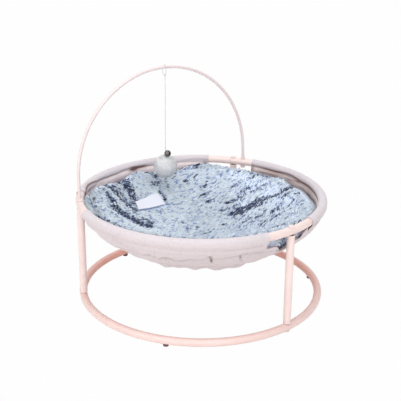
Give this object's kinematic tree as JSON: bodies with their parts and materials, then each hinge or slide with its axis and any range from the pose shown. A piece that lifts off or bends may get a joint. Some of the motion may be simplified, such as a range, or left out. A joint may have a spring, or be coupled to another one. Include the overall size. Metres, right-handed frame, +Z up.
{
  "type": "elevated pet bed",
  "caption": "Raised round pet bed: a canvas bowl with a plush mat in a tube frame on legs, and a wire arch with a hanging bell and pompom.",
  "frame": {"origin": "On the floor, under the centre of the two rings.", "axes": "+Z up. -Y is the side that the picture is taken from, and the toy arch stands over the -X +Y side."},
  "size_m": [0.461, 0.4618, 0.4137],
  "materials": {
    "powder_coat": "semi-gloss blush pink powder coat on steel tube",
    "zinc_steel": "satin zinc plate",
    "foot_rubber": "matt dark brown rubber",
    "canvas": "matt plain-woven canvas, off-white with a pink cast",
    "elastic_tape": "matt white woven elastic",
    "long_pile_plush": "soft long-pile plush, pale blue with navy roots",
    "label_cloth": "matt white woven label, left bare",
    "cotton_cord": "matt twisted white cord",
    "bell_metal": "bright nickel plate",
    "pompom_fleece": "fluffy white fleece"
  },
  "bodies": {
    "frame": {"rim_arc_rear": "powder_coat", "rim_arc_front": "powder_coat", "rim_arc_right": "powder_coat", "base_arc_rear": "powder_coat", "base_arc_front": "powder_coat", "base_arc_right": "powder_coat", "leg_back": "powder_coat", "leg_left": "powder_coat", "leg_front": "powder_coat", "rim_bolt_back": "powder_coat", "rim_bolt_left": "powder_coat", "rim_bolt_front": "powder_coat", "base_bolt_back": "powder_coat", "base_bolt_left": "powder_coat", "base_bolt_front": "powder_coat", "arch_rod": "powder_coat", "arch_collar_back": "powder_coat", "arch_collar_left": "powder_coat", "arch_nut_back": "powder_coat", "arch_nut_left": "powder_coat", "rim_washer_back": "zinc_steel", "rim_washer_left": "zinc_steel", "rim_washer_front": "zinc_steel", "base_washer_back": "zinc_steel", "base_washer_left": "zinc_steel", "base_washer_front": "zinc_steel", "upper_insert_back": "zinc_steel", "upper_insert_left": "zinc_steel", "upper_insert_front": "zinc_steel", "lower_insert_back": "zinc_steel", "lower_insert_left": "zinc_steel", "lower_insert_front": "zinc_steel", "foot_rear": "foot_rubber", "foot_front": "foot_rubber", "foot_right": "foot_rubber", "sleeve_rear": "canvas", "sleeve_front": "canvas", "sleeve_right": "canvas", "canvas_bowl": "canvas", "canvas_floor": "canvas", "gathered_frill": "canvas", "gather_elastic": "elastic_tape", "plush_mat": "long_pile_plush", "mat_label": "label_cloth"},
    "toy_loop": {"toy_loop": "cotton_cord"},
    "toy": {"toy_cord": "cotton_cord", "bell_shell": "bell_metal", "bell_pellet": "zinc_steel", "pompom": "pompom_fleece"}
  },
  "joints": [
    {"name": "loop_swing", "type": "hinge", "parent": "frame", "child": "toy_loop", "pos_m": [-0.06989, 0.10382, 0.40894], "axis": [0.7922, 0.6103, 0], "range_deg": [-60, 60]},
    {"name": "toy_swing", "type": "hinge", "parent": "toy_loop", "child": "toy", "pos_m": [-0.06989, 0.10382, 0.39344], "axis": [-0.6103, 0.7922, 0], "range_deg": [-50, 50]}
  ]
}
